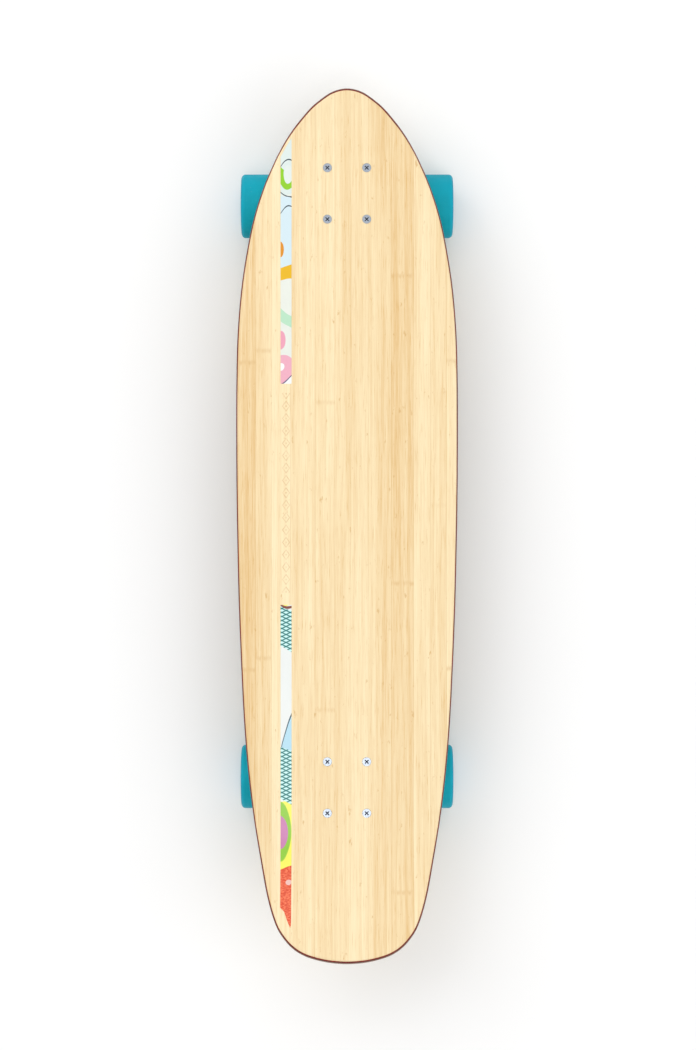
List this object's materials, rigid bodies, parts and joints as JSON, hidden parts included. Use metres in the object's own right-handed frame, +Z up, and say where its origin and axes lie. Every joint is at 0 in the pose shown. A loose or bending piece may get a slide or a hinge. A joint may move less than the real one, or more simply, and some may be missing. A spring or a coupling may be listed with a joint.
{
  "type": "electric skateboard",
  "caption": "Kicktail longboard with bamboo deck, steering trucks, teal urethane wheels, and a removable belt-drive kit and electronics box under the deck.",
  "frame": {"origin": "on the ground under the middle of the deck's length and width", "axes": "+Y towards the nose, +X towards the right-hand side seen by a rider facing the nose, +Z up"},
  "size_m": [0.2332, 0.9144, 0.1452],
  "materials": {
    "bamboo": "satin lacquered bamboo",
    "red_ply": "dyed red ply, lacquered edge",
    "core_ply": "glued ply edge",
    "inlay_print": "printed strip under lacquer, plain colour shapes",
    "bolt_steel": "zinc plated",
    "pad_rubber": "matt",
    "cast_dark": "cast, dark powder coat",
    "cast_raw": "cast and tumbled",
    "axle_steel": "turned",
    "bushing_urethane": "cast urethane",
    "teal_urethane": "cast urethane, satin",
    "core_plastic": "moulded",
    "bearing_steel": "ground",
    "box_plastic": "textured moulding",
    "cell_wrap": "shrink sleeve",
    "foam": "closed-cell foam",
    "board_green": "solder mask",
    "anodised": "black anodised",
    "motor_metal": "turned",
    "button_red": "moulded",
    "bezel_metal": "polished",
    "belt_rubber": "matt"
  },
  "bodies": {
    "deck": {"deck_top_veneer": "bamboo", "deck_red_ply": "red_ply", "deck_core": "core_ply", "deck_bottom_veneer": "bamboo", "front_inlay": "inlay_print", "rear_inlay": "inlay_print", "deck_bolts": "bolt_steel", "deck_nuts": "bolt_steel", "riser_pads": "pad_rubber", "baseplates": "cast_dark", "pivot_cups": "pad_rubber", "kingpins": "bolt_steel", "kingpin_nuts": "bolt_steel", "bushing_washers": "bolt_steel", "enclosure_shell": "box_plastic", "enclosure_screws": "anodised", "battery_cells": "cell_wrap", "battery_pad": "foam", "battery_board": "board_green", "motor_controller": "anodised", "button_bezel": "bezel_metal", "charge_port": "box_plastic"},
    "front_hanger": {"front_bushings": "bushing_urethane", "front_hanger": "cast_raw", "front_axle": "axle_steel", "front_speed_washers": "axle_steel", "front_axle_nuts": "axle_steel", "front_bearing_inner_rings": "bearing_steel", "front_bearing_spacers": "axle_steel"},
    "rear_hanger": {"rear_bushings": "bushing_urethane", "rear_hanger": "cast_raw", "rear_axle": "axle_steel", "rear_speed_washers": "axle_steel", "rear_axle_nuts": "axle_steel", "rear_bearing_inner_rings": "bearing_steel", "rear_bearing_spacers": "axle_steel", "motor_mount": "anodised", "mount_screws": "bolt_steel", "motor_stator": "anodised", "drive_belt": "belt_rubber"},
    "front_left_wheel": {"front_left_tyre": "teal_urethane", "front_left_core": "core_plastic", "front_left_bearings": "bearing_steel"},
    "front_right_wheel": {"front_right_tyre": "teal_urethane", "front_right_core": "core_plastic", "front_right_bearings": "bearing_steel"},
    "rear_left_wheel": {"rear_left_tyre": "teal_urethane", "rear_left_core": "core_plastic", "rear_left_bearings": "bearing_steel"},
    "rear_right_wheel": {"rear_right_tyre": "teal_urethane", "rear_right_core": "core_plastic", "rear_right_bearings": "bearing_steel", "wheel_pulley": "anodised", "pulley_bolts": "bolt_steel"},
    "motor_rotor": {"motor_can": "motor_metal", "motor_pulley": "motor_metal"},
    "power_button": {"power_button": "button_red"}
  },
  "joints": [
    {"name": "front_steer", "type": "hinge", "parent": "deck", "child": "front_hanger", "pos_m": [0, 0.36004, 0.0583], "axis": [0, 0.6691, 0.7431], "range_deg": [-15, 15], "stiffness_Nm_per_rad": 60, "deforming": ["front_bushings"]},
    {"name": "rear_steer", "type": "hinge", "parent": "deck", "child": "rear_hanger", "pos_m": [0, -0.28918, 0.0583], "axis": [0, -0.6691, 0.7431], "range_deg": [-15, 15], "stiffness_Nm_per_rad": 60, "deforming": ["rear_bushings"]},
    {"name": "front_left_spin", "type": "hinge", "parent": "front_hanger", "child": "front_left_wheel", "pos_m": [-0.0879, 0.3422, 0.034], "axis": [1, 0, 0], "continuous": true},
    {"name": "front_right_spin", "type": "hinge", "parent": "front_hanger", "child": "front_right_wheel", "pos_m": [0.0879, 0.3422, 0.034], "axis": [1, 0, 0], "continuous": true},
    {"name": "rear_left_spin", "type": "hinge", "parent": "rear_hanger", "child": "rear_left_wheel", "pos_m": [-0.0879, -0.27133, 0.034], "axis": [1, 0, 0], "continuous": true},
    {"name": "rear_right_spin", "type": "hinge", "parent": "rear_hanger", "child": "rear_right_wheel", "pos_m": [0.0879, -0.27133, 0.034], "axis": [1, 0, 0], "continuous": true},
    {"name": "motor_spin", "type": "hinge", "parent": "rear_hanger", "child": "motor_rotor", "pos_m": [0.03, -0.19648, 0.048], "axis": [1, 0, 0], "continuous": true},
    {"name": "button_press", "type": "slide", "parent": "deck", "child": "power_button", "axis": [-1, 0, 0], "range_m": [0, 0.0015], "stiffness_N_per_m": 1500}
  ],
  "couplings": [
    {"joint": "motor_spin", "follows": "rear_right_spin", "ratio": 2.2857}
  ]
}
